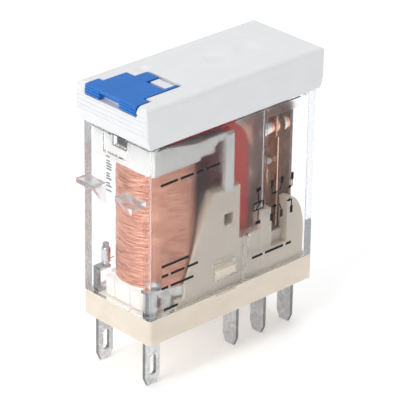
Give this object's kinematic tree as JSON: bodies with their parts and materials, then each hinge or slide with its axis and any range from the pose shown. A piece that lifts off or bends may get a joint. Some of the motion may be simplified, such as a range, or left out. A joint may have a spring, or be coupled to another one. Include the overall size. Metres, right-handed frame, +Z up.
{
  "type": "plug-in relay",
  "caption": "Miniature plug-in relay in a clear case on a cream base with blade terminals, with a white cap and a blue flip-up test lever",
  "frame": {"origin": "middle of the underside of the base, which seats on the socket or board; the blades point down from it", "axes": "+X along the long side, from the coil end with the test lever to the contact end; +Y across the narrow side; +Z up, away from the blades"},
  "size_m": [0.0317, 0.0132, 0.0396],
  "materials": {
    "base_plastic": "cream thermoplastic with a fine moulded texture",
    "clear_case": "clear polycarbonate, glossy and slightly grey at its edges",
    "cap_plastic": "white thermoplastic with a satin surface",
    "lever_plastic": "bright blue thermoplastic with a satin surface",
    "flag_plastic": "pale grey plastic",
    "bobbin_plastic": "milky white plastic",
    "copper_wire": "enamelled copper wire, close-wound",
    "iron": "plated soft iron",
    "carrier_plastic": "red thermoplastic",
    "tinned_metal": "tin-plated copper alloy strip",
    "silver_contact": "silver alloy rivet",
    "spring_bronze": "bare copper alloy spring strip"
  },
  "bodies": {
    "root": {"base": "base_plastic", "case": "clear_case", "cap": "cap_plastic", "bobbin": "bobbin_plastic", "coil_winding": "copper_wire", "core": "iron", "yoke": "iron", "coil_terminal_front": "tinned_metal", "coil_terminal_rear": "tinned_metal", "coil_lead_front": "copper_wire", "coil_lead_rear": "copper_wire", "nc_terminal_front": "tinned_metal", "nc_terminal_rear": "tinned_metal", "com_terminal_front": "tinned_metal", "com_terminal_rear": "tinned_metal", "no_terminal_front": "tinned_metal", "no_terminal_rear": "tinned_metal", "nc_contact_front": "silver_contact", "nc_contact_rear": "silver_contact", "no_contact_front": "silver_contact", "no_contact_rear": "silver_contact", "contact_barrier": "base_plastic"},
    "armature_group": {"armature": "iron", "carrier": "carrier_plastic", "contact_pusher": "bobbin_plastic", "indicator_flag": "flag_plastic"},
    "spring_group_front": {"moving_spring_front": "spring_bronze", "moving_contact_front": "silver_contact"},
    "spring_group_rear": {"moving_spring_rear": "spring_bronze", "moving_contact_rear": "silver_contact"},
    "lever": {"test_lever": "lever_plastic"}
  },
  "joints": [
    {"name": "armature_hinge", "type": "hinge", "parent": "root", "child": "armature_group", "pos_m": [-0.0001, 0, 0.0252], "axis": [0, -1, 0], "range_deg": [0, 4], "stiffness_Nm_per_rad": 0.005, "springref_deg": -5.73},
    {"name": "spring_front_flex", "type": "hinge", "parent": "root", "child": "spring_group_front", "pos_m": [0.0096, -0.0023, 0.00845], "axis": [0, 1, 0], "range_deg": [0, 3]},
    {"name": "spring_rear_flex", "type": "hinge", "parent": "root", "child": "spring_group_rear", "pos_m": [0.0096, 0.0023, 0.00845], "axis": [0, 1, 0], "range_deg": [0, 3]},
    {"name": "test_lever_hinge", "type": "hinge", "parent": "root", "child": "lever", "pos_m": [-0.0083, 0, 0.0323], "axis": [0, 1, 0], "range_deg": [0, 90]}
  ],
  "couplings": [
    {"joint": "spring_front_flex", "follows": "armature_hinge", "ratio": 0.75},
    {"joint": "spring_rear_flex", "follows": "armature_hinge", "ratio": 0.75}
  ]
}
